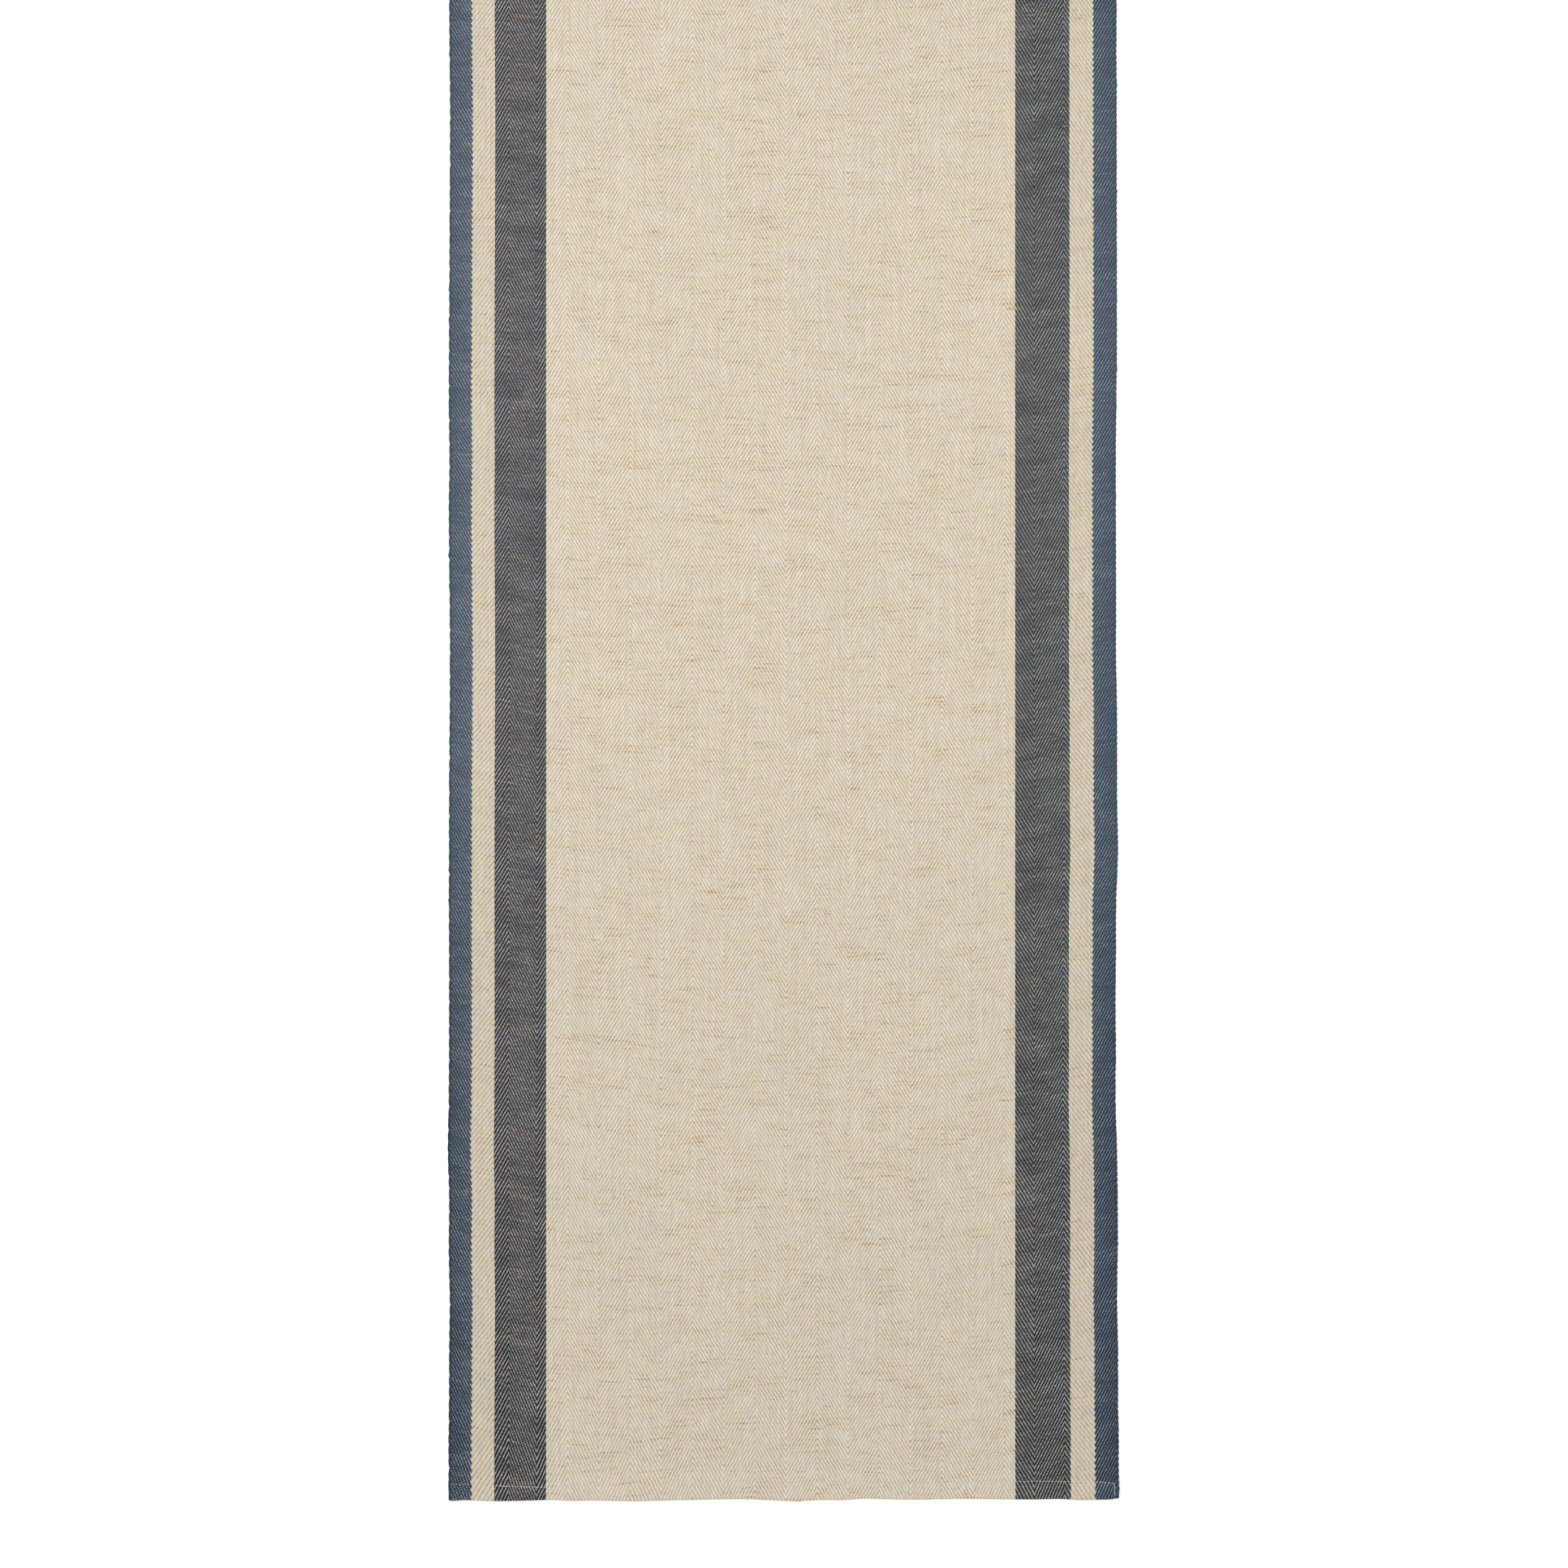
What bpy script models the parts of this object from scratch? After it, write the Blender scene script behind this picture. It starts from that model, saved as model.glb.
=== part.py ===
"""A striped herringbone table runner: one woven cloth, hemmed at both ends with lockstitch.

It lies flat. X runs across the runner, Y along it and Z up, in metres, and the origin is on the
table under its middle. The near end is at -Y. Each band of differently coloured warp yarn is three
pieces: the level run that lies on the table, and a turned hem at each end of it.
"""

import math

import bmesh
import bpy

# Driving dimensions.
LENGTH = 1.500  # from hem fold to hem fold
WIDTH = 0.400  # from selvedge to selvedge
CLOTH = 0.0007  # thickness of one layer of the cloth
SELVEDGE = 0.0016  # the close-set ends along each side
BORDER_LEFT = 0.0120  # navy, inside the selvedge
BORDER_RIGHT = 0.0125
CREAM_LEFT = 0.0136
CREAM_RIGHT = 0.0146
STRIPE_LEFT = 0.0306  # charcoal, beside the centre field
STRIPE_RIGHT = 0.0330
HEM_DEPTH = 0.0110  # how far the cloth is turned under
HEM_SLOPE = 0.0060  # length over which the face comes down from the hem to the table
THREAD = 0.0003  # diameter of the sewing thread
SEAM_MARGIN = 0.0005  # from the seam to where the hem's inner fold starts to curve
TACK_MARGIN = 0.0008  # from the closing stitches at the hem's end to the selvedge
TACK_LENGTH = 0.0058  # how far the closing stitches run from the seam towards the hem fold
THREAD_START = 0.0010  # from the selvedge's edge to where the seam starts

# Clearances.
BAND_GAP = 0.0003  # between strips of the cloth
LAYER_GAP = 0.0002  # between layers of the hem
THREAD_GAP = 0.0001  # between a thread and the groove that it presses into the cloth
THREAD_SINK = 0.00005  # how deep the top of a thread lies in its groove

# Worked out from these.
HEM_HEIGHT = 3 * CLOTH + 2 * LAYER_GAP
OUTER_FOLD = HEM_HEIGHT / 2  # radius of the outside of the hem's outer fold
INNER_FOLD = CLOTH + LAYER_GAP / 2  # radius of the outside of the hem's inner fold
SEAM = HEM_DEPTH - INNER_FOLD - SEAM_MARGIN  # from the hem fold to the seam
TACK = WIDTH / 2 - SELVEDGE - TACK_MARGIN  # from the middle to the closing stitches
GROOVE_WIDTH = THREAD + 2 * THREAD_GAP
GROOVE_DEPTH = THREAD_SINK + THREAD + THREAD_GAP
THREAD_DEPTH = THREAD_SINK + THREAD / 2  # from the cloth's surface to the thread's middle

FOLD_STEPS = 12  # flats round each fold
SLOPE_STEPS = 10  # flats down the slope beside each hem
FLAT_STEPS = 12  # lengths of the level run

# Colour and roughness of each yarn.
YARNS = {
    "navy_yarn": ((0.035, 0.060, 0.095), 0.85),
    "cream_yarn": ((0.60, 0.53, 0.42), 0.85),
    "charcoal_yarn": ((0.090, 0.095, 0.100), 0.85),
    "natural_yarn": ((0.64, 0.56, 0.44), 0.85),
    "seam_thread": ((0.74, 0.70, 0.62), 0.60),
}


def clear_scene():
    for ob in list(bpy.data.objects):
        bpy.data.objects.remove(ob, do_unlink=True)


def yarn_material(name):
    colour, roughness = YARNS[name]
    material = bpy.data.materials.get(name) or bpy.data.materials.new(name)
    material.use_nodes = True
    shader = material.node_tree.nodes["Principled BSDF"]
    shader.inputs["Base Color"].default_value = (*colour, 1.0)
    shader.inputs["Roughness"].default_value = roughness
    shader.inputs["Metallic"].default_value = 0.0
    return material


def add_object(name, data, material=None):
    ob = bpy.data.objects.new(name, data)
    bpy.context.scene.collection.objects.link(ob)
    if material:
        data.materials.append(material)
    return ob


def fold(y, z, radius, start, sense):
    """Half a turn about (y, z) from an angle, as (y, z) points; sense 1 goes from +Y towards +Z."""
    turns = [start + sense * math.pi * i / FOLD_STEPS for i in range(FOLD_STEPS + 1)]
    return [(y + radius * math.cos(a), z + radius * math.sin(a)) for a in turns]


def slope(y_from, y_to, z_from, z_to):
    """Points along an S-shaped slope, without its first."""
    steps = [i / SLOPE_STEPS for i in range(1, SLOPE_STEPS + 1)]
    return [
        (y_from + (y_to - y_from) * t, z_from + (z_to - z_from) * t * t * (3 - 2 * t))
        for t in steps
    ]


def level_line():
    """The middle of the cloth where it lies on the table, from the side."""
    start = -LENGTH / 2 + HEM_DEPTH + HEM_SLOPE + BAND_GAP / 2
    return [(start - 2 * start * i / FLAT_STEPS, CLOTH / 2) for i in range(FLAT_STEPS + 1)]


def hem_line():
    """The middle of the cloth through the near hem, from the side: up the slope, over the hem, round
    the outer fold, back under it, and round the inner fold to the raw edge that lies inside."""
    low = CLOTH / 2
    high = HEM_HEIGHT - low
    foot = -LENGTH / 2 + HEM_DEPTH + HEM_SLOPE - BAND_GAP / 2
    outer = -LENGTH / 2 + OUTER_FOLD
    inner = -LENGTH / 2 + HEM_DEPTH - INNER_FOLD
    rise = [(foot, low)] + slope(foot, -LENGTH / 2 + HEM_DEPTH, low, high)
    outer_fold = fold(outer, OUTER_FOLD, OUTER_FOLD - low, math.pi / 2, 1)
    inner_fold = fold(inner, INNER_FOLD, INNER_FOLD - low, -math.pi / 2, 1)
    raw_edge = (outer, inner_fold[-1][1])
    return rise + outer_fold + inner_fold + [raw_edge]


def cloth_strip(name, line, x_from, x_to, yarn):
    """A strip of cloth: a line seen from the side, drawn out across X and thickened evenly."""
    bm = bmesh.new()
    verts = [bm.verts.new((x_from, y, z)) for y, z in line]
    edges = [bm.edges.new(pair) for pair in zip(verts, verts[1:])]
    drawn = bmesh.ops.extrude_edge_only(bm, edges=edges)["geom"]
    moved = [v for v in drawn if isinstance(v, bmesh.types.BMVert)]
    bmesh.ops.translate(bm, verts=moved, vec=(x_to - x_from, 0, 0))
    mesh = bpy.data.meshes.new(name)
    bm.to_mesh(mesh)
    bm.free()
    strip = add_object(name, mesh, yarn_material(yarn))
    thick = strip.modifiers.new("cloth_thickness", "SOLIDIFY")
    thick.thickness = CLOTH
    thick.offset = 0.0
    thick.use_even_offset = True
    return strip


def bands():
    """Each band of warp across the cloth: its name, its yarn, and where it starts and ends in X."""
    left = [
        ("selvedge_left", "navy_yarn", SELVEDGE),
        ("border_left", "navy_yarn", BORDER_LEFT),
        ("cream_band_left", "cream_yarn", CREAM_LEFT),
        ("inner_stripe_left", "charcoal_yarn", STRIPE_LEFT),
    ]
    right = [
        ("inner_stripe_right", "charcoal_yarn", STRIPE_RIGHT),
        ("cream_band_right", "cream_yarn", CREAM_RIGHT),
        ("border_right", "navy_yarn", BORDER_RIGHT),
        ("selvedge_right", "navy_yarn", SELVEDGE),
    ]
    middle = WIDTH - sum(width for _, _, width in left + right)
    across = left + [("centre_field", "natural_yarn", middle)] + right
    x = -WIDTH / 2
    for i, (name, yarn, width) in enumerate(across):
        before = 0 if i == 0 else BAND_GAP / 2
        after = 0 if i == len(across) - 1 else BAND_GAP / 2
        yield name, yarn, x + before, x + width - after
        x += width


def groove_cutter(name, z_from, z_to, turned):
    """A closed L-shaped block along a seam and its closing stitches, which presses the groove."""
    half = GROOVE_WIDTH / 2
    seam = -LENGTH / 2 + SEAM
    stop = seam - TACK_LENGTH - THREAD_GAP
    outline = [
        (-WIDTH / 2 - CLOTH, seam - half),
        (TACK - half, seam - half),
        (TACK - half, stop),
        (TACK + half, stop),
        (TACK + half, seam + half),
        (-WIDTH / 2 - CLOTH, seam + half),
    ]
    bm = bmesh.new()
    floor = bm.faces.new([bm.verts.new((x, y, z_from)) for x, y in outline])
    raised = bmesh.ops.extrude_face_region(bm, geom=[floor])["geom"]
    top = [v for v in raised if isinstance(v, bmesh.types.BMVert)]
    bmesh.ops.translate(bm, verts=top, vec=(0, 0, z_to - z_from))
    bmesh.ops.recalc_face_normals(bm, faces=bm.faces)
    mesh = bpy.data.meshes.new(name)
    bm.to_mesh(mesh)
    bm.free()
    cutter = add_object(name, mesh)
    cutter.rotation_euler.z = turned
    cutter.hide_render = True
    cutter.display_type = "WIRE"
    return cutter


def cut(ob, cutter):
    groove = ob.modifiers.new(cutter.name, "BOOLEAN")
    groove.operation = "DIFFERENCE"
    groove.solver = "EXACT"
    groove.object = cutter


def seam_thread(name, z, turned):
    """One thread of a hem's lockstitch: along the seam, then round the corner to close the hem's end."""
    seam = -LENGTH / 2 + SEAM
    route = [(-WIDTH / 2 + THREAD_START, seam), (TACK, seam), (TACK, seam - TACK_LENGTH)]
    curve = bpy.data.curves.new(name, "CURVE")
    curve.dimensions = "3D"
    curve.bevel_depth = THREAD / 2
    curve.bevel_resolution = 2
    curve.use_fill_caps = True
    spline = curve.splines.new("POLY")
    spline.points.add(len(route) - 1)
    for point, (x, y) in zip(spline.points, route):
        point.co = (x, y, z, 1.0)
    thread = add_object(name, curve, yarn_material("seam_thread"))
    thread.rotation_euler.z = turned
    return thread


def build_runner():
    hems = {"near": [], "far": []}
    for name, yarn, x_from, x_to in bands():
        cloth_strip(name, level_line(), x_from, x_to, yarn)
        for end, side in (("near", 1), ("far", -1)):
            line = [(side * y, z) for y, z in hem_line()]
            hems[end].append(cloth_strip(f"{name}_hem_{end}", line, x_from, x_to, yarn))
    top = HEM_HEIGHT
    for end, turned in (("near", 0.0), ("far", math.pi)):
        above = groove_cutter(f"needle_groove_{end}", top - GROOVE_DEPTH, top + CLOTH, turned)
        below = groove_cutter(f"bobbin_groove_{end}", -CLOTH, GROOVE_DEPTH, turned)
        for hem in hems[end]:
            cut(hem, above)
            cut(hem, below)
        seam_thread(f"needle_thread_{end}", top - THREAD_DEPTH, turned)
        seam_thread(f"bobbin_thread_{end}", THREAD_DEPTH, turned)


clear_scene()
build_runner()
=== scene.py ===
"""A striped herringbone table runner, lying flat on a pale floor.

One woven cloth with navy, cream and charcoal bands down both sides, turned under twice at each end
and sewn with a lockstitch. X runs across it, Y along it and Z up, in metres.
"""

import math

import bmesh
import bpy
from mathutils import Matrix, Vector, noise


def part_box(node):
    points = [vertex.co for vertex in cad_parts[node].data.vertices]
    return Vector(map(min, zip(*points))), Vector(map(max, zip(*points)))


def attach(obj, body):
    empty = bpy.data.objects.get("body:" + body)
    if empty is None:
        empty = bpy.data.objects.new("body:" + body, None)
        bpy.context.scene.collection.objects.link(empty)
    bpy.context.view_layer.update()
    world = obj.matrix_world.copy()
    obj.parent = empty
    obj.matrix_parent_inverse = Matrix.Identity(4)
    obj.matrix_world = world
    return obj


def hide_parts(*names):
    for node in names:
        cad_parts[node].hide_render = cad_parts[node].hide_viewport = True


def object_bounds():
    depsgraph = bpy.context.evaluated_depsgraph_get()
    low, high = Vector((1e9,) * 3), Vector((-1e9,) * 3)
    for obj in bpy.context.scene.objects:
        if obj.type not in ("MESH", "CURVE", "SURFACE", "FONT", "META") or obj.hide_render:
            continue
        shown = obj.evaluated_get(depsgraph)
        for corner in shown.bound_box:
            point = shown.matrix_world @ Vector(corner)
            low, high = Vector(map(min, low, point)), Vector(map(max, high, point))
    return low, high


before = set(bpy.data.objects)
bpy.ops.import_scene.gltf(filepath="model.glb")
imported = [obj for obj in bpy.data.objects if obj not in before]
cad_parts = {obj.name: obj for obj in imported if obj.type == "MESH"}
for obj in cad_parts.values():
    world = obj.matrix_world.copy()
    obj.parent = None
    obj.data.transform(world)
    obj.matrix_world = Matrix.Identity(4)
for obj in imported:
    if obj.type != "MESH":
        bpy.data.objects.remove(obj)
cad_low, cad_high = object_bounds()
scene = bpy.context.scene

# ---------------------------------------------------------------- camera, floor and light
# The runner is looked at from straight above its near half, and it runs out of view at the far end.
# The floor is plain and pale, under a bright even sky of white cloth and one large soft lamp.
CAMERA_PLACE = (0.0, -0.3219, 2.606)
LENS, SENSOR = 100.0, 36.0  # millimetres
FLOOR_HALF = 14.0
FLOOR_DROP = 0.0002  # below the runner, so that the two never share a surface
FLOOR_GREY = 0.93
SKY_STRENGTH = 1.30
LAMP_PLACE, LAMP_AIM = (-1.7, 1.5, 2.9), (0.0, -0.3, 0.0)
LAMP_SIDE = 2.2
LAMP_POWER = 78.0

scene.view_settings.view_transform = "Standard"

camera = bpy.data.objects.new("camera", bpy.data.cameras.new("camera"))
camera.data.lens = LENS
camera.data.sensor_width = SENSOR
camera.location = CAMERA_PLACE
scene.collection.objects.link(camera)
scene.camera = camera

bm = bmesh.new()
bmesh.ops.create_grid(bm, x_segments=1, y_segments=1, size=FLOOR_HALF)
bmesh.ops.translate(bm, verts=bm.verts, vec=(0, 0, -FLOOR_DROP))
floor = bpy.data.objects.new("floor", bpy.data.meshes.new("floor"))
bm.to_mesh(floor.data)
bm.free()
scene.collection.objects.link(floor)
floor_paint = bpy.data.materials.new("floor_paint")
floor_paint.use_nodes = True
floor_shader = floor_paint.node_tree.nodes["Principled BSDF"]
floor_shader.inputs["Base Color"].default_value = (FLOOR_GREY, FLOOR_GREY, FLOOR_GREY, 1.0)
floor_shader.inputs["Roughness"].default_value = 0.9
floor_shader.inputs["Specular IOR Level"].default_value = 0.1
floor.data.materials.append(floor_paint)

sky = bpy.data.worlds.new("sky")
sky.use_nodes = True
sky_light = sky.node_tree.nodes["Background"]
sky_light.inputs["Color"].default_value = (1.0, 1.0, 1.0, 1.0)
sky_light.inputs["Strength"].default_value = SKY_STRENGTH
scene.world = sky

lamp = bpy.data.objects.new("soft_lamp", bpy.data.lights.new("soft_lamp", "AREA"))
lamp.data.shape = "SQUARE"
lamp.data.size = LAMP_SIDE
lamp.data.energy = LAMP_POWER
lamp.location = LAMP_PLACE
lamp_line = Vector(LAMP_AIM) - Vector(LAMP_PLACE)
lamp.rotation_euler = lamp_line.to_track_quat("-Z", "Y").to_euler()
lamp.visible_camera = False
scene.collection.objects.link(lamp)

# ---------------------------------------------------------------- centre field
# The middle of the cloth: off-white cotton warp and beige linen weft, woven as a herringbone. At
# each end the cloth is turned under twice, so one strip runs from raw edge to raw edge.
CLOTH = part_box("centre_field")[1].z
HEM_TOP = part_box("centre_field_hem_near")[1].z
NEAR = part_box("centre_field_hem_near")[0].y
HEM_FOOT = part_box("centre_field_hem_near")[1].y
THREAD = 0.00030  # the sewing thread's width
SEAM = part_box("needle_thread_near")[1].y - THREAD / 2
LAYER_GAP = (HEM_TOP - 3 * CLOTH) / 2
HEM_DEPTH = 0.0110  # how far the cloth is turned under
OUTER_FOLD = HEM_TOP / 2  # radius of the outside of each fold
INNER_FOLD = CLOTH + LAYER_GAP / 2
HALF_WIDTH = 0.2

# Rows of the mesh down the slope, over the hem, under it, inside it and round each fold.
SLOPE_ROWS, TOP_ROWS, UNDER_ROWS, MIDDLE_ROWS, FOLD_ROWS = 8, 13, 8, 6, 8


def chain_of_hem():
    """The middle of the cloth through the near hem, seen from the side, as (y, z) points: from the
    raw edge inside it, round both folds, over the top and down to the table."""
    low, high = CLOTH / 2, HEM_TOP - CLOTH / 2
    outer, inner = NEAR + OUTER_FOLD, NEAR + HEM_DEPTH - INNER_FOLD

    def run(y_from, y_to, z, rows):
        return [(y_from + (y_to - y_from) * i / rows, z) for i in range(rows)]

    def turn(y, z, radius, start, rows):
        angles = [start - math.pi * i / rows for i in range(rows)]
        return [(y + radius * math.cos(a), z + radius * math.sin(a)) for a in angles]

    slope = [i / SLOPE_ROWS for i in range(SLOPE_ROWS)]
    hem_end = NEAR + HEM_DEPTH
    return (
        run(outer, inner, INNER_FOLD + (INNER_FOLD - low), MIDDLE_ROWS)
        + turn(inner, INNER_FOLD, INNER_FOLD - low, math.pi / 2, FOLD_ROWS)
        + run(inner, outer, low, UNDER_ROWS)
        + turn(outer, OUTER_FOLD, OUTER_FOLD - low, -math.pi / 2, FOLD_ROWS)
        + run(outer, hem_end, high, TOP_ROWS)
        + [
            (hem_end + (HEM_FOOT - hem_end) * t, high + (low - high) * t * t * (3 - 2 * t))
            for t in slope
        ]
    )


def rows_of_cloth(pitch):
    """Rows of the whole cloth from raw edge to raw edge: distance along the cloth, which equals Y
    on the level run, then y and z of its middle."""
    hem = chain_of_hem() + [(HEM_FOOT, CLOTH / 2)]
    along = [HEM_FOOT]
    for here, before in zip(reversed(hem[1:]), reversed(hem[:-1])):
        along.append(along[-1] - math.dist(here, before))
    near = [(s, y, z) for s, (y, z) in zip(reversed(along), hem)]
    far = [(-s, -y, z) for s, y, z in reversed(near)]
    steps = round(-2 * HEM_FOOT / pitch)
    level = [HEM_FOOT * (1 - 2 * i / steps) for i in range(1, steps)]
    return near + [(y, y, CLOTH / 2) for y in level] + far


def between(points, place):
    """The value at a place on a smooth line through (place, value) points."""
    if place <= points[0][0]:
        return points[0][1]
    for i in range(1, len(points)):
        if place <= points[i][0]:
            (p1, v1), (p2, v2) = points[i - 1], points[i]
            v0, v3 = points[max(i - 2, 0)][1], points[min(i + 1, len(points) - 1)][1]
            t = (place - p1) / (p2 - p1)
            a, b = (v2 - v0) / 2, (v3 - v1) / 2
            return v1 + t * (a + t * (3 * (v2 - v1) - 2 * a - b + t * (2 * (v1 - v2) + a + b)))
    return points[-1][1]


def fade(distance, reach):
    """1 at no distance, down to 0 at the reach and beyond."""
    t = min(max(distance / reach, 0.0), 1.0)
    return 1.0 - t * t * (3.0 - 2.0 * t)


# How far the near hem's fold stands in from a straight line, and how far from that line its seam
# runs, both across the cloth in millimetres. A hem sewn by eye wanders by a millimetre or two.
MM = 0.001
FAR_HEM_TURN = -0.93  # the far hem wanders as the near one does, turned round and drawn out
HEM_LINE = [
    (-200, -0.55), (-197, -0.60), (-190, -0.15), (-174, -0.77), (-150, -0.33), (-139, -0.05),
    (-127, -0.60), (-115, -0.33), (-92, -0.80), (-69, -0.31), (-46, 0.20), (-22, 0.45),
    (-8, -0.15), (1, -0.55), (6, -0.85), (8, -1.15), (10, -0.75), (13, -0.45), (24, -0.02),
    (36, -0.10), (47, 0.72), (59, 0.46), (71, 0.19), (83, 0.22), (106, 0.62), (129, 0.37),
    (152, 0.24), (164, 0.60), (176, -0.05), (187, 0.04), (195, 0.25), (197.5, 0.85),
    (200, 0.80),
]
SEAM_LINE = [
    (-200, 9.4), (-190, 9.5), (-168, 8.4), (-146, 7.8), (-115, 7.6), (-85, 9.7), (-40, 10.2),
    (0, 9.4), (45, 10.4), (90, 9.8), (142, 11.2), (166, 11.2), (189, 10.8), (200, 9.7),
]
# How far each selvedge stands to the right of a straight line, along the cloth in millimetres.
LEFT_EDGE = [
    (-750, -0.6), (-718, -0.8), (-689, -0.55), (-659, -0.45), (-630, -0.1), (-600, -0.7),
    (-570, -0.45), (-541, -1.2), (-511, -0.7), (-452, -0.5), (-393, -0.6), (-334, -0.5),
    (-245, 0.0), (-215, -0.2), (-186, -0.5), (-156, -0.7), (-126, -0.3), (-97, -0.7),
    (-37, -0.45), (22, -0.15), (81, 0.1), (111, -0.25), (170, -0.5), (260, 0.3), (350, -0.4),
    (450, -0.1), (560, -0.6), (660, 0.1), (750, -0.4),
]
RIGHT_EDGE = [
    (-750, 0.3), (-718, 0.35), (-689, 0.0), (-659, -0.1), (-630, -0.6), (-600, -0.25),
    (-570, -0.25), (-541, -0.7), (-511, -1.6), (-482, -1.35), (-452, -1.6), (-422, -1.3),
    (-393, -1.2), (-363, -0.1), (-334, -0.6), (-274, -0.7), (-245, -1.3), (-215, -1.2),
    (-126, -1.4), (-67, -0.8), (81, -0.95), (140, -1.0), (230, -0.3), (310, -1.1), (420, -0.6),
    (520, -1.2), (610, -0.2), (690, -0.7), (750, -0.1),
]

# How far into the cloth each wandering is felt, and how the cloth lies between them.
HEM_REACH, SEAM_REACH, SIDE_REACH = 0.11, 0.06, 0.07
FRAY = 0.00012  # the small waviness of the selvedges
PINCH, PINCH_REACH = 0.15, 0.0013  # how much the seam squeezes the hem
PUFF = 0.05  # how unevenly the hem's layers lie
SLOPE = 0.006  # length over which the face comes down from the hem
LIFT, WAVE = 0.00013, 0.00028  # height of the folding waves


def settle(x, y, z):
    """Where a point of a runner made dead straight and flat lies in this one: its sides and hems
    wander, the seam squeezes the hem, and the cloth keeps a few faint waves from its folding."""
    end = 1 if y > 0 else -1
    inside = abs(NEAR) - abs(y)
    lookup = x / MM if end < 0 else FAR_HEM_TURN * x / MM
    edge = between(HEM_LINE, lookup) * MM
    seam = between(SEAM_LINE, lookup) * MM - edge - (SEAM - NEAR)
    depth = max(inside, 0.0) / (SEAM - NEAR)
    shift = edge * fade(inside, HEM_REACH)
    shift += seam * (depth if depth < 1 else fade(inside - (SEAM - NEAR), SEAM_REACH))
    y_new = y - end * shift

    side = between(LEFT_EDGE if x < 0 else RIGHT_EDGE, y / MM) * MM
    side += FRAY * noise.noise(Vector((y * 90, 3.0 if x < 0 else 8.0, 0)))
    x_new = x + side * fade(HALF_WIDTH - abs(x), SIDE_REACH)

    hem = fade(inside - HEM_DEPTH, SLOPE)
    squeeze = PINCH * math.exp(-(((inside - (SEAM - NEAR)) / PINCH_REACH) ** 2))
    puff = PUFF * noise.noise(Vector((x * 85, end * 2.0, 4.0))) * hem
    middle = HEM_TOP / 2
    z_new = middle + (z - middle) * (1 - squeeze * hem + puff)
    if hem < 1.0:
        z_new = z + (z_new - z) * hem
    waves = noise.noise(Vector((x * 11, y * 8, 0.5)))
    waves += 0.5 * noise.noise(Vector((x * 26, y * 17, 7)))
    z_new += max(0.0, LIFT + WAVE * waves) * (1 - hem)
    return Vector((x_new, y_new, max(z_new, 0.0)))


def edge_between(left, right):
    """Where two bands meet across the cloth. Their bodies stand a small gap apart."""
    return (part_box(left)[1].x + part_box(right)[0].x) / 2


BACK_SHARE = 0.42  # share of the face's width that the back gets on the texture sheet
SHEET_GAP = 0.003  # between lengths on the texture sheet
MOST_LENGTHS = 15
SIDE_WALL = 0.0001  # share of the width within which a point is on a cut side


def lay_cloth(name, x_from, x_to, column, row, edge_shape=None):
    """A band of the cloth, from the raw edge in the near hem to the one in the far hem, with points
    column apart across it and row apart along it. A flat slab is gridded, given its thickness and
    then folded into place. Each point keeps its place on the flat cloth in the attribute "cloth",
    for the weave. The texture sheet holds the long band as several lengths side by side.
    edge_shape(across, x, s, half) may move a point's x and change half the cloth's thickness."""
    rows = rows_of_cloth(row)
    width = x_to - x_from
    columns = max(2, round(width / column))
    last = len(rows) - 1
    bm = bmesh.new()
    bmesh.ops.create_grid(bm, x_segments=columns, y_segments=last, size=1.0)
    bmesh.ops.solidify(bm, geom=bm.faces[:], thickness=1.0)
    middle = sum(v.co.z for v in bm.verts) / len(bm.verts)
    place = bm.verts.layers.float_vector.new("cloth")
    normals = []
    for i in range(len(rows)):
        before, after = rows[max(i - 1, 0)], rows[min(i + 1, last)]
        dy, dz = after[1] - before[1], after[2] - before[2]
        size = math.hypot(dy, dz)
        normals.append((-dz / size, dy / size))
    where = {}
    for v in bm.verts:
        across, number = (v.co.x + 1) / 2, round((v.co.y + 1) / 2 * last)
        face = 1 if v.co.z > middle else -1
        s, y, z = rows[number]
        x = x_from + width * across
        half = CLOTH / 2
        if edge_shape:
            x, half = edge_shape(across, x, s, half)
        ny, nz = normals[number]
        point = settle(x, y + ny * half * face, z + nz * half * face)
        v.co = point
        v[place] = (x, s, face)
        where[v] = (across * width, s - rows[0][0], face)
    bmesh.ops.recalc_face_normals(bm, faces=bm.faces)

    length = rows[last][0] - rows[0][0]
    pitch = width + SHEET_GAP
    sizes = {
        n: max(n * pitch * (1 + BACK_SHARE), length / n + SHEET_GAP)
        for n in range(1, MOST_LENGTHS + 1)
    }
    strips = min(sizes, key=sizes.get)
    sheet = sizes[strips]
    layout = bm.loops.layers.uv.new("OFBake")
    for face in bm.faces:
        corners = [where[v] for v in face.verts]
        along = sum(c[1] for c in corners) / 4
        strip = min(int(along / length * strips), strips - 1)
        sides = {c[2] for c in corners}
        for loop in face.loops:
            u, s, side = where[loop.vert]
            v_place = s - strip * length / strips + SHEET_GAP / 2
            if sides == {-1}:
                face.material_index = 1
                u = strips * pitch + (strip * pitch + SHEET_GAP / 2 + u) * BACK_SHARE
            else:
                if side == -1 and u <= SIDE_WALL * width:
                    u -= CLOTH
                elif side == -1 and u >= (1 - SIDE_WALL) * width:
                    u += CLOTH
                elif side == -1:
                    v_place += CLOTH if s > length / 2 else -CLOTH
                u += strip * pitch + SHEET_GAP / 2
            loop[layout].uv = (u / sheet, v_place / sheet)
        face.smooth = True
    mesh = bpy.data.meshes.new(name)
    bm.to_mesh(mesh)
    bm.free()
    mesh.set_sharp_from_angle(angle=math.radians(60))
    band = bpy.data.objects.new(name, mesh)
    scene.collection.objects.link(band)
    return band


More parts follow.
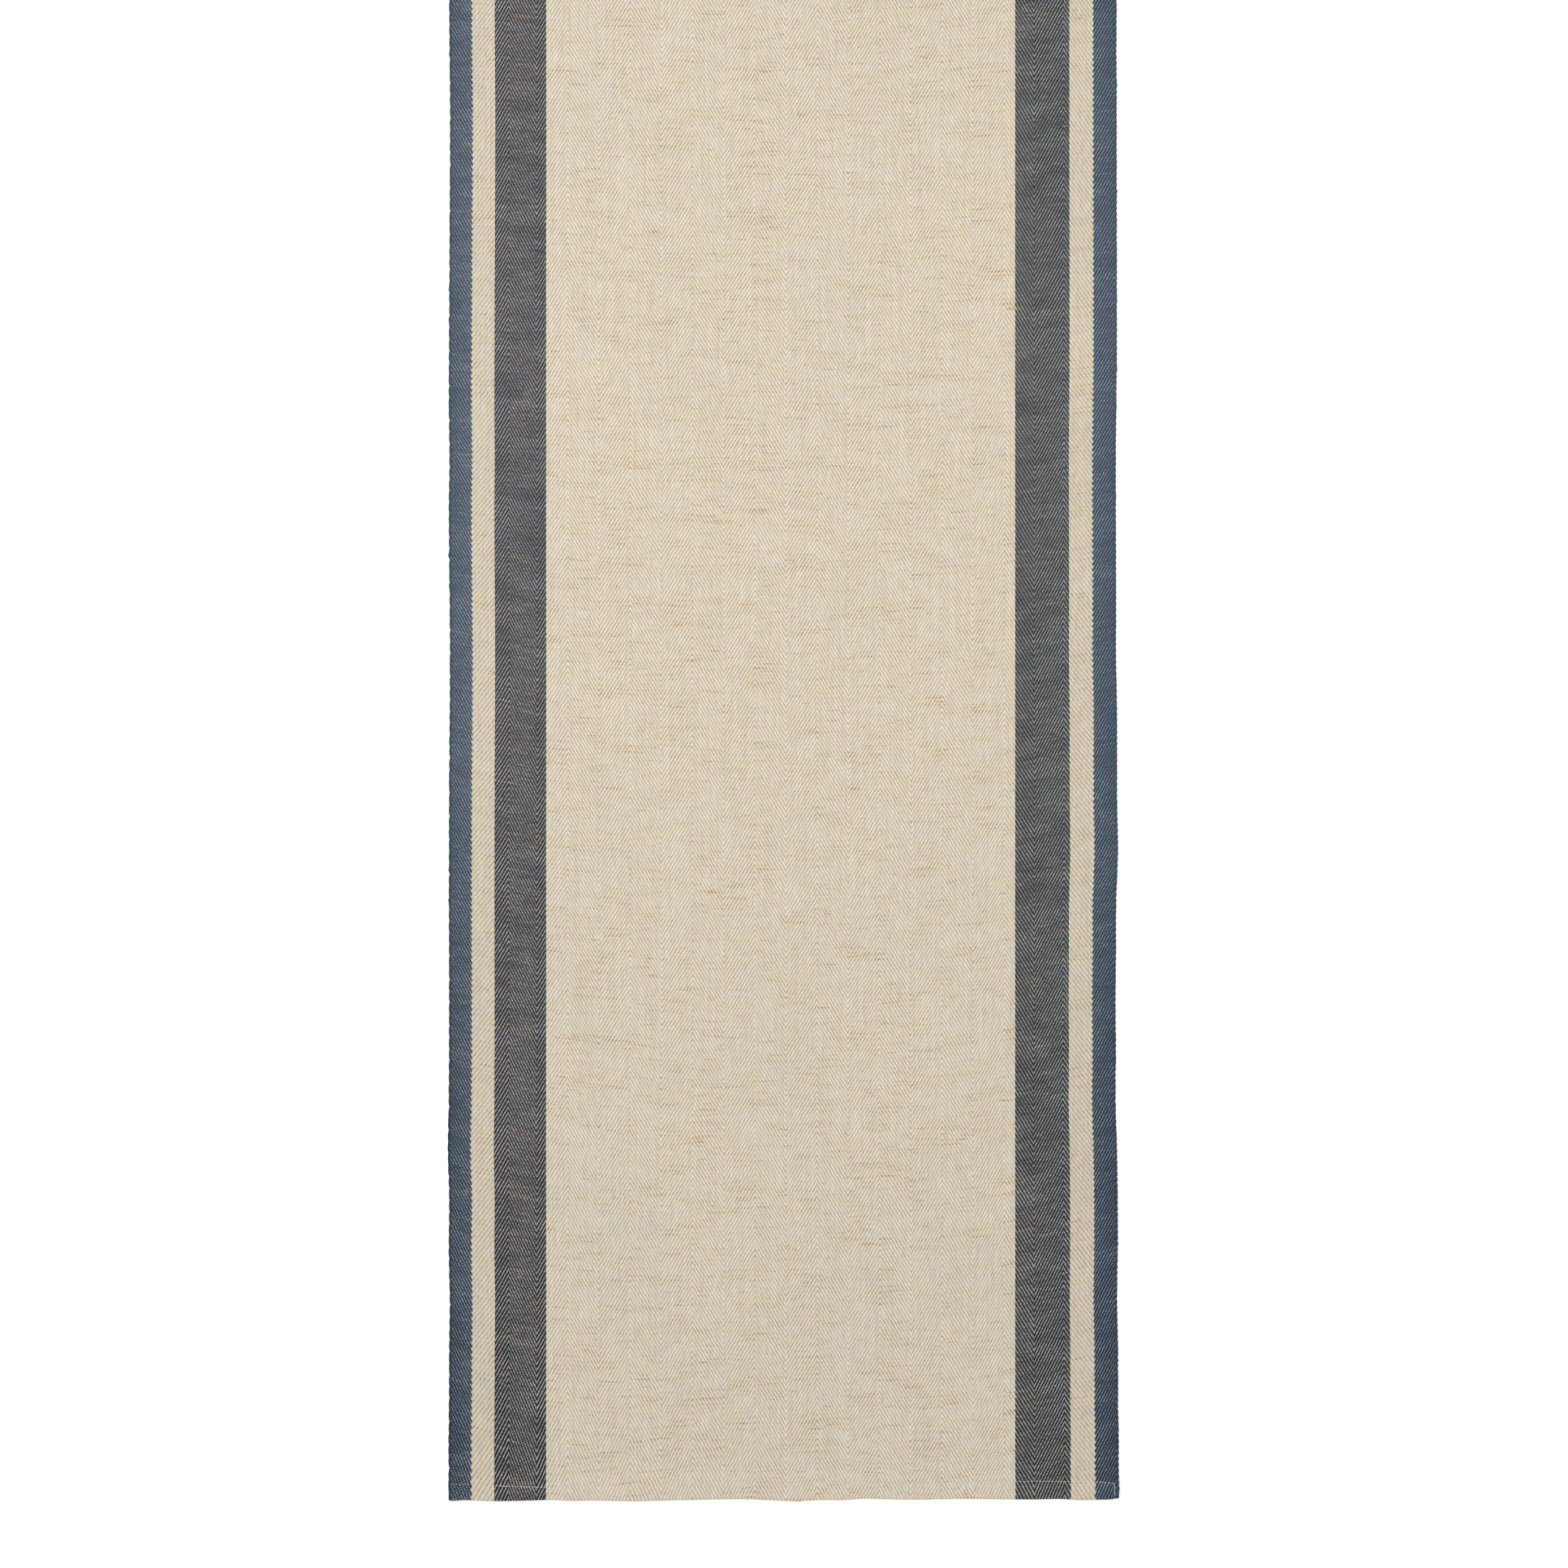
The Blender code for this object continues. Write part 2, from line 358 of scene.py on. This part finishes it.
class Shade:
    """A socket of a material. Python's operators on it add Math nodes to the material."""

    def __init__(self, tree, socket):
        self.tree, self.socket = tree, socket

    def node(self, kind, settings=(), inputs=(), output=0):
        """Any node: its type, its settings, the values or links of its sockets, and one output."""
        made = self.tree.nodes.new(kind)
        for name, value in dict(settings).items():
            setattr(made, name, value)
        for name, value in dict(inputs).items():
            if isinstance(value, Shade):
                self.tree.links.new(value.socket, made.inputs[name])
            else:
                made.inputs[name].default_value = value
        return Shade(self.tree, made.outputs[output])

    def math(self, operation, *others):
        return self.node("ShaderNodeMath", {"operation": operation}, enumerate((self, *others)))

    def __add__(self, other):
        return self.math("ADD", other)

    def __sub__(self, other):
        return self.math("SUBTRACT", other)

    def __mul__(self, other):
        return self.math("MULTIPLY", other)

    def __truediv__(self, other):
        return self.math("DIVIDE", other)

    def __rsub__(self, other):
        return (self * -1.0) + other

    def __pow__(self, other):
        return self.math("POWER", other)

    __radd__, __rmul__ = __add__, __mul__

    def floor(self):
        return self.math("FLOOR")

    def ramp(self, low, high, start=0.0, end=1.0):
        """start below low, end above high and an eased run between them."""
        values = {"Value": self, "From Min": low, "From Max": high, "To Min": start, "To Max": end}
        return self.node("ShaderNodeMapRange", {"interpolation_type": "SMOOTHSTEP"}, values)

    def blend(self, first, second):
        """From the first colour to the second as this goes from 0 to 1."""
        inputs = {0: self, 6: first, 7: second}
        return self.node("ShaderNodeMix", {"data_type": "RGBA"}, inputs, 2)

    def tinted(self, other):
        """This colour times another."""
        return self.node("ShaderNodeVectorMath", {"operation": "MULTIPLY"}, {0: self, 1: other})

    def scaled(self, amount):
        """This colour made lighter or darker."""
        return self.node("ShaderNodeVectorMath", {"operation": "SCALE"}, {0: self, "Scale": amount})

    def clouds(self, x, y, detail=1.0):
        """Soft noise about 0.5 over two numbers, one patch to the unit."""
        spot = self.node("ShaderNodeCombineXYZ", (), {"X": x, "Y": y})
        inputs = {"Vector": spot, "Scale": 1.0, "Detail": detail}
        return self.node("ShaderNodeTexNoise", {"noise_dimensions": "2D"}, inputs)


PICK = 0.00087  # from one weft pick to the next
FLOAT = 4.0  # picks from one dot of weft to the next on one end
# The dye of each warp, as a linear colour: at the near hem, and paler along the cloth, where
# painted light falloff and haze lift it.
NAVY = ((0.0036, 0.0132, 0.0275), (0.029, 0.047, 0.072))
CHARCOAL = ((0.0040, 0.0075, 0.0125), (0.023, 0.028, 0.036))
OFF_WHITE = ((0.513, 0.470, 0.394), (0.564, 0.511, 0.416))
CREAM = ((0.465, 0.422, 0.349), (0.512, 0.463, 0.377))
# Each weft: at the near hem, paler along the cloth where painted light falloff and haze lift it,
# and the tint of its tanner picks.
SHADED_LINEN = ((0.400, 0.315, 0.205), (0.425, 0.335, 0.220), (0.76, 0.62, 0.47))  # among pale ends: the linen's own tan, darkened further by painted shade of the hollows it lies in
PALE_LINEN = ((0.430, 0.415, 0.380), (0.385, 0.368, 0.340), (1.00, 0.86, 0.72))  # charcoal ends
BLUED_LINEN = ((0.242, 0.288, 0.335), (0.270, 0.298, 0.357), (1.00, 0.88, 0.76))  # navy ends
PLAIN = (1.0, 1.0, 1.0)  # no tint, where a warp's dye stands for a weft's on the back
FLECK = (0.26, 0.19, 0.12, 1.0)  # bits of stalk in the linen
TILT = 0.7  # in picks over one end: the weft leans up to the right where it shows
HOLLOW_SHADE = 0.42  # how dark the painted shade in the hollows between the yarns is
HEM_PALER = 0.20  # how much paler the hem is beyond the seam, further along the same blend


def weave(
    name, warp, weft, end, turn, turn_ends, phase, dot,
    hollow_shade=HOLLOW_SHADE, teeth=None, plain=0.0, taper=0.0,
):
    """The woven yarns of one band. Each warp end floats over three picks of weft and dips under the
    fourth, where a dot of weft shows, and the dots of neighbouring ends step by one pick, so that
    they line up as a twill, which turns back at every turn_ends ends.
    warp and weft are the dyes, end the pitch of the ends, turn where a twill peak is, phase the
    twill's start in picks, and dot the width and height of a weft dot in yarns, and how much both
    swing from place to place. taper makes the dots smaller towards the sides of the cloth. teeth
    says where the next band's ends swell over this band's edge, or its own over the next band's:
    the place, its direction, the depth, and the other band's warp and weft. plain is the share of
    the weft that close-set ends hide."""
    cloth = bpy.data.materials.new(name)
    cloth.use_nodes = True
    tree = cloth.node_tree
    shader = tree.nodes["Principled BSDF"]
    start = Shade(tree, None)
    spot = start.node("ShaderNodeAttribute", {"attribute_name": "cloth"}, (), "Vector")
    across = spot.node("ShaderNodeSeparateXYZ", (), {0: spot}, "X")
    along = Shade(tree, across.socket.node.outputs["Y"])

    # Where on its yarns a point lies. The yarns sway, and the picks bow. The numbers in clouds are
    # patches to the metre, or to the yarn where a yarn's number is given.
    sway = (spot.clouds(across * 9, along * 11, 2.0) - 0.5) * 0.0016
    slack = ((along - NEAR) * -14.0).math("EXPONENT") * across.ramp(-0.15, 0.03, 0.019, 0.004)
    drawn = (across.math("ABSOLUTE") ** 3.0) * along.ramp(-0.35, 0.05, -2.2, -0.7)
    bow = (spot.clouds(across * 5 + 5, along * 6, 1.5) - 0.5) * 0.0060 + slack + drawn
    ends = (across + sway - turn) / end
    end_no = ends.floor()
    in_end = ends - end_no - 0.5
    picks = (along + bow) / PICK
    columns = (end_no / turn_ends).floor()
    twill = picks + end_no.math("PINGPONG", turn_ends) + columns * 2.0 + phase
    float_no = (twill / FLOAT).floor()
    from_dot = twill - float_no * FLOAT - FLOAT / 2

    # No two crossings and no two yarns are quite alike: slubs thicken a pick for a few centimetres.
    crossing = spot.node("ShaderNodeCombineXYZ", (), {"X": end_no, "Y": float_no})
    dice = {"noise_dimensions": "2D"}
    chance = spot.node("ShaderNodeTexWhiteNoise", dice, {"Vector": crossing}, "Color")
    chances = spot.node("ShaderNodeSeparateColor", (), {0: chance}, "Red").socket.node.outputs
    luck, shove, tint = (Shade(tree, chances[i]) for i in range(3))
    pick_no = (picks + 0.5).floor()
    slub = spot.clouds(across * 34, pick_no * 0.83, 2.0).ramp(0.54, 0.70)
    thick_end = spot.clouds(end_no * 0.43, along * 12, 2.0)

    # The dot of weft, and the relief of the yarns round it.
    patches = spot.clouds(across * 13, along * 9 + 2, 3.0)
    pick_shade = spot.clouds(across * 24 + 9, pick_no * 0.71, 3.0)
    mottle = spot.clouds(across * 38, (along + bow) * 95 + 4, 3.0)
    knot = spot.clouds(across * 55 + 2, pick_no * 0.97 + 11).ramp(0.67, 0.75)
    swing = (mottle - 0.5) * 1.7 + (pick_shade - 0.5) * 0.9 + (patches - 0.5) * 0.5
    swing = (swing + slub * 0.3) * dot[2] + knot * 0.5
    if taper:
        swing = swing + across.math("ABSOLUTE").ramp(0.184, 0.200, taper, -taper)
    high = (1.0 + swing) * dot[1] * (luck * 0.3 + 0.85)
    wide = (1.08 - thick_end * 0.2 + swing) * dot[0]
    off = from_dot - in_end * TILT + (shove - 0.5) * 0.35
    radius = ((in_end / wide) ** 2.0 + (off / high) ** 2.0).math("SQRT")
    weft_shows = radius.ramp(0.72, 1.18, 1.0, 0.0)
    crown = 1.0 - in_end * in_end * 4.0
    rise = from_dot.math("ABSOLUTE").ramp(0.2, 1.5)
    warp_relief = (crown.math("MAXIMUM", 0.0) ** 0.6) * (rise * 0.75 + 0.25)
    weft_relief = 0.75 - radius * radius * 0.45
    relief = warp_relief + (weft_relief - warp_relief) * weft_shows

    # Colours: each yarn has its own tone, painted light falloff and haze make the cloth paler along
    # its length, and painted shade darkens the hollows between the yarns.
    # Beyond the seam the hem is made paler still, by moving it further along the same blend.
    hem_paler = along.math("ABSOLUTE").ramp(-SEAM - MM, -SEAM + MM) * HEM_PALER
    # Painted light: paler from the near hem towards the middle and a little darker again beyond,
    # for the lamp's falloff and haze.
    falloff_along = along + spot.clouds(across * 4, along * 3) * 0.16
    falloff_and_hem = falloff_along.ramp(-0.72, -0.03) - falloff_along.ramp(0.03, 0.33) * 0.34 + hem_paler
    warp_colour = falloff_and_hem.blend((*warp[0], 1.0), (*warp[1], 1.0))
    if teeth:
        place, towards, depth, other, other_weft = teeth
        swell = (((picks / FLOAT).math("FRACT") ** 0.65) * math.pi).math("SINE")
        lobe = (swell * 2.0 - 1.0) * depth
        beyond = ((across - place) * towards - lobe).ramp(-0.0001, 0.0001)
        other_colour = falloff_and_hem.blend((*other[0], 1.0), (*other[1], 1.0))
        warp_colour = beyond.blend(warp_colour, other_colour)
    warp_colour = warp_colour.scaled((thick_end - 0.5) * 0.20 + (tint - 0.5) * 0.20 + 1.0)
    fleck = spot.clouds(across * 260, along * 800 + 3, 1.0).ramp(0.70, 0.80)
    weft_colour = falloff_and_hem.blend((*weft[0], 1.0), (*weft[1], 1.0))
    if teeth:
        weft_colour = beyond.blend(weft_colour, (*other_weft[1], 1.0))
    weft_colour = fleck.blend(weft_colour, FLECK)
    tan_pick = spot.clouds(across * 30 + 5, pick_no * 0.93 + 7, 2.0).ramp(0.52, 0.66)
    weft_colour = weft_colour.tinted(tan_pick.blend((1.04, 1.04, 1.04, 1.0), (*weft[2], 1.0)))
    weft_colour = weft_colour.tinted(knot.blend((*PLAIN, 1.0), (*weft[2], 1.0)))
    weft_colour = weft_colour.tinted(luck.blend((1.06, 0.99, 0.94, 1.0), (0.95, 1.01, 1.05, 1.0)))
    weft_colour = weft_colour.scaled((pick_shade - 0.5) * 0.4 + (luck - 0.5) * 0.24 + 1.0)
    if plain:
        weft_shows = weft_shows * (1.0 - plain)
    colour = weft_shows.blend(warp_colour, weft_colour)
    # Painted shade: the colour darkens where the yarns dip, in the hollows between them and round
    # the weft dots.
    shade = 1.0 - (1.0 - relief.math("MAXIMUM", 0.0)) * hollow_shade
    warmth = spot.clouds(across * 80 + 7, (along + bow) * 160, 4.0)
    colour = colour.scaled(shade * ((patches - 0.5) * 0.06 + 1.0))
    colour = colour.tinted(warmth.blend((0.98, 1.00, 1.08, 1.0), (1.02, 1.00, 0.89, 1.0)))

    tree.links.new(colour.socket, shader.inputs["Base Color"])
    rough = 0.90 - relief * 0.10
    tree.links.new(rough.socket, shader.inputs["Roughness"])
    rise_and_fall = {"Strength": 0.55, "Distance": 0.00018, "Height": relief}
    bump = relief.node("ShaderNodeBump", (), rise_and_fall)
    tree.links.new(bump.socket, shader.inputs["Normal"])
    shader.inputs["Specular IOR Level"].default_value = 0.25
    shader.inputs["Sheen Weight"].default_value = 0.03
    shader.inputs["Sheen Roughness"].default_value = 0.6
    return cloth


COLUMN, ROW = 0.0036, 0.0036
TURN_ENDS = 36  # from one turn of the herringbone to the next
FIELD_LEFT = edge_between("inner_stripe_left", "centre_field")
FIELD_RIGHT = edge_between("centre_field", "inner_stripe_right")
CUT_LENGTH = rows_of_cloth(ROW)[-1][0] * 2  # of the flat cloth, from raw edge to raw edge


def hang_on(band, node):
    """The band stands for its level run and both its hems, and rides with the runner."""
    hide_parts(node, f"{node}_hem_near", f"{node}_hem_far")
    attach(band, "root")


field = lay_cloth("centre_field_cloth", FIELD_LEFT, FIELD_RIGHT, COLUMN, ROW)
field_yarns = (0.000518, -0.1291, TURN_ENDS, 0.0, (0.51, 0.57, 1.25), 0.50)
field.data.materials.append(weave("off_white_herringbone", OFF_WHITE, SHADED_LINEN, *field_yarns))
field.data.materials.append(weave("off_white_back", SHADED_LINEN, (*OFF_WHITE, PLAIN), *field_yarns))
hang_on(field, "centre_field")

# ---------------------------------------------------------------- inner stripes
# Beside the field on each side, 31 and 33 mm of charcoal ends in the same herringbone, a little
# closer set. The beige weft shows between them as bright dots.
STRIPE_OUTER_LEFT = edge_between("cream_band_left", "inner_stripe_left")
STRIPE_OUTER_RIGHT = edge_between("inner_stripe_right", "cream_band_right")


def cast_over(dyes, cast):
    """The same dyes with a slight cast of another colour."""
    return [[value * tint for value, tint in zip(dye, cast)] for dye in dyes]


for side, x_from, x_to, end, turn, cast in (
    ("left", STRIPE_OUTER_LEFT, FIELD_LEFT, 0.000458, -0.1641, (1.01, 0.985, 1.03)),
    ("right", FIELD_RIGHT, STRIPE_OUTER_RIGHT, 0.000497, 0.1679, (0.94, 0.975, 0.975)),
):
    warp = cast_over(CHARCOAL, cast)
    weft = (*cast_over(PALE_LINEN[:2], cast), PALE_LINEN[2])
    stripe = lay_cloth(f"inner_stripe_{side}_cloth", x_from, x_to, COLUMN, ROW)
    yarns = (end, turn, TURN_ENDS, 1.0, (0.56, 0.48, 0.4))
    stripe.data.materials.append(weave(f"charcoal_herringbone_{side}", warp, weft, *yarns))
    stripe.data.materials.append(weave(f"charcoal_back_{side}", SHADED_LINEN, (*warp, PLAIN), *yarns))
    hang_on(stripe, f"inner_stripe_{side}")
    x_to - x_from

# ---------------------------------------------------------------- cream bands
# Outside each stripe, 14 and 15 mm of cream ends in a plain twill that leans one way only. The
# navy beside it swells into it once every four picks.
CREAM_OUTER_LEFT = edge_between("border_left", "cream_band_left")
CREAM_OUTER_RIGHT = edge_between("cream_band_right", "border_right")
TOOTH = 0.00048
NEVER = 600  # more ends than the band has, so that its twill never turns back

# lean is where the twill would turn back, far outside the band, and so sets which way it leans.
for side, x_from, x_to, lean, meets, towards in (
    ("left", CREAM_OUTER_LEFT, STRIPE_OUTER_LEFT, 0.05, CREAM_OUTER_LEFT, -1),
    ("right", STRIPE_OUTER_RIGHT, CREAM_OUTER_RIGHT, -0.05, CREAM_OUTER_RIGHT, 1),
):
    cream = lay_cloth(f"cream_band_{side}_cloth", x_from, x_to, COLUMN, ROW)
    yarns = (0.000590, lean, NEVER, 2.0, (0.48, 0.53, 1.0), 0.50)
    teeth = (meets, towards, -TOOTH, NAVY, BLUED_LINEN)
    cream.data.materials.append(weave(f"cream_twill_{side}", CREAM, SHADED_LINEN, *yarns, teeth=teeth))
    cream.data.materials.append(weave(f"cream_back_{side}", SHADED_LINEN, (*CREAM, PLAIN), *yarns))
    hang_on(cream, f"cream_band_{side}")
    x_to - x_from

# ---------------------------------------------------------------- borders and selvedges
# The outer 12 mm of navy ends in twill, and outside them 1.6 mm of close-set ends, round which the
# weft turns back. Each turn draws the edge in a little, so it is scalloped.
BORDER_LEFT = edge_between("selvedge_left", "border_left")
BORDER_RIGHT = edge_between("border_right", "selvedge_right")
SELVEDGE_COLUMN, SELVEDGE_ROW = 0.0004, 0.00059
BORDER_COLUMN = 0.0030
BUMP = 0.0011  # how far a coarse weft may push the edge out

# outward is the direction away from the cloth, tall the height of the weft dots, plain the share of
# the weft that the selvedge hides, and scallop and drawn the length and depth of its scallops.
for side, outward, inner, middle, outer, tall, plain, scallop, drawn, cast in (
    (
        "left", -1, CREAM_OUTER_LEFT, BORDER_LEFT, cad_low.x,
        0.46, 0.8, 8 * PICK, 0.00062, (1.0, 1.0, 1.0),
    ),
    (
        "right", 1, CREAM_OUTER_RIGHT, BORDER_RIGHT, cad_high.x,
        0.39, 0.55, 4 * PICK, 0.00070, (0.82, 0.94, 0.97),
    ),
):
    warp = cast_over(NAVY, cast)
    lean = outward * 0.30  # far outside the cloth
    border = lay_cloth(f"border_{side}_cloth", *sorted((inner, middle)), BORDER_COLUMN, ROW)
    yarns = (0.000500, lean, NEVER, 0.0, (0.56, tall, 0.35))
    teeth = (inner, -outward, TOOTH, CREAM, CREAM)
    twill = weave(f"navy_twill_{side}", warp, BLUED_LINEN, *yarns, teeth=teeth, taper=0.16)
    border.data.materials.append(twill)
    border.data.materials.append(weave(f"navy_back_{side}", SHADED_LINEN, (*NAVY, PLAIN), *yarns))
    hang_on(border, f"border_{side}")

    def drawn_in(across, x, s, half):
        """The selvedge drawn in between the turns of the weft, and thinner towards its edge."""
        out = across if outward > 0 else 1 - across
        lobe = abs(math.sin(math.pi * s / scallop)) ** 0.6
        pull = drawn * (0.7 + 0.9 * noise.noise(Vector((s * 110, outward, 0)))) * (1 - lobe)
        pull -= BUMP * max(0.0, noise.noise(Vector((s * 170, outward, 5.0))) - 0.32)
        return x - outward * pull * out**3, half * (1 - 0.45 * out**4)

    selvedge = lay_cloth(
        f"selvedge_{side}_cloth", *sorted((middle, outer)), SELVEDGE_COLUMN, SELVEDGE_ROW, drawn_in
    )
    yarns = (0.00040, lean, NEVER, 0.0, (0.40, 0.50, 0.4))
    for face in (f"selvedge_{side}", f"selvedge_back_{side}"):
        selvedge.data.materials.append(weave(face, warp, BLUED_LINEN, *yarns, plain=plain))
    hang_on(selvedge, f"selvedge_{side}")
    abs(middle - inner)

# ---------------------------------------------------------------- hem threads
# A lockstitch of ivory cotton thread closes each hem: the needle thread shows above, the bobbin
# thread below, and they lock inside the hem at every hole. Both turn the corner at the hem's end
# and run back to its fold.
STITCH = 0.0024
CLOSING_STITCH = STITCH * 0.62  # they are shorter
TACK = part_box("needle_thread_near")[1].x - THREAD / 2  # where the closing stitches run
TACK_TAIL = 0.0019  # the last stitch and the thread's end, which run on to the fold
TACK_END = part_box("needle_thread_near")[0].y - TACK_TAIL
SEAM_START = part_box("needle_thread_near")[0].x
THREAD_COLOUR = (0.52, 0.485, 0.42)
TWIST = 0.00042  # length of one turn of the plies
CLOSING_DRIFT = 0.00028  # how far inwards the closing stitches lie

sewing = bpy.data.materials.new("ivory_thread")
sewing.use_nodes = True
ply = Shade(sewing.node_tree, None)
ply_spot = ply.node("ShaderNodeTexCoord", (), (), "Object")
ply_x = ply.node("ShaderNodeSeparateXYZ", (), {0: ply_spot}, "X")
ply_y = Shade(sewing.node_tree, ply_x.socket.node.outputs["Y"])
twist = ((ply_x + ply_y) * (2 * math.pi / TWIST)).math("SINE") * 0.5 + 0.5
# The thread's tone varies at random, and the grooves between its plies are darker: painted shade.
ply_tone_and_shade = ply_x.clouds(ply_x * 300, ply_y * 300) * 0.4 + 0.62 + twist * 0.25
thread_colour = ply_tone_and_shade.blend((0, 0, 0, 1), (*THREAD_COLOUR, 1.0))
thread_relief = {"Strength": 0.6, "Distance": 0.00005, "Height": twist}
sewing_shader = sewing.node_tree.nodes["Principled BSDF"]
sewing.node_tree.links.new(thread_colour.socket, sewing_shader.inputs["Base Color"])
thread_bump = twist.node("ShaderNodeBump", (), thread_relief)
sewing.node_tree.links.new(thread_bump.socket, sewing_shader.inputs["Normal"])
sewing.node_tree.links.new((0.72 - twist * 0.12).socket, sewing_shader.inputs["Roughness"])
sewing_shader.inputs["Sheen Weight"].default_value = 0.15

# One stitch from hole to hole: how far along it, and how high over the cloth in thread widths. The
# first stitches, over the navy, are pulled tighter, and the closing ones lie looser.
STITCH_SHAPE = ((0.0, -3.2), (0.14, -0.9), (0.28, 0.0), (0.5, 0.2), (0.72, 0.0), (0.86, -0.9))
TIGHT, LOOSE = 0.35, -0.7
WANDER = 0.00012  # how far a stitch strays from the line
TABLE_GAP = 0.00001  # between the bobbin thread and the table

for end, sense in (("near", 1), ("far", -1)):
    for kind in ("needle", "bobbin"):
        path = []
        count = round((TACK - SEAM_START) / STITCH)
        step = (TACK - SEAM_START) / count
        holes = [(SEAM_START + step * i, SEAM) for i in range(count)]
        tacks = round((SEAM - TACK_END) / CLOSING_STITCH)
        holes += [(TACK, SEAM - (SEAM - TACK_END) * i / tacks) for i in range(tacks + 1)]
        for (x1, y1), (x2, y2) in zip(holes, holes[1:]):
            wander = WANDER * noise.noise(Vector((x1 * 700, y1 * 700, sense)))
            closing = y1 != y2
            sunk = TIGHT if x1 < CREAM_OUTER_LEFT else LOOSE if closing else 0.0
            for t, rise in STITCH_SHAPE:
                x = x1 + (x2 - x1) * t - (CLOSING_DRIFT if closing else 0.0)
                y = y1 + (y2 - y1) * t + wander
                point = settle(sense * x, sense * y, HEM_TOP + (rise - sunk) * THREAD)
                if kind == "bobbin":
                    point.z = THREAD / 2 + (TABLE_GAP if rise > 0 else -rise * THREAD)
                path.append(point)
        curve = bpy.data.curves.new(f"{kind}_stitches_{end}", "CURVE")
        curve.dimensions = "3D"
        curve.bevel_depth = THREAD / 2
        curve.bevel_resolution = 1
        curve.use_fill_caps = True
        line = curve.splines.new("POLY")
        line.points.add(len(path) - 1)
        for point, place in zip(line.points, path):
            point.co = (*place, 1.0)
        curve.materials.append(sewing)
        stitches = bpy.data.objects.new(f"{kind}_stitches_{end}", curve)
        scene.collection.objects.link(stitches)
        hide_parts(f"{kind}_thread_{end}")
        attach(stitches, "root")
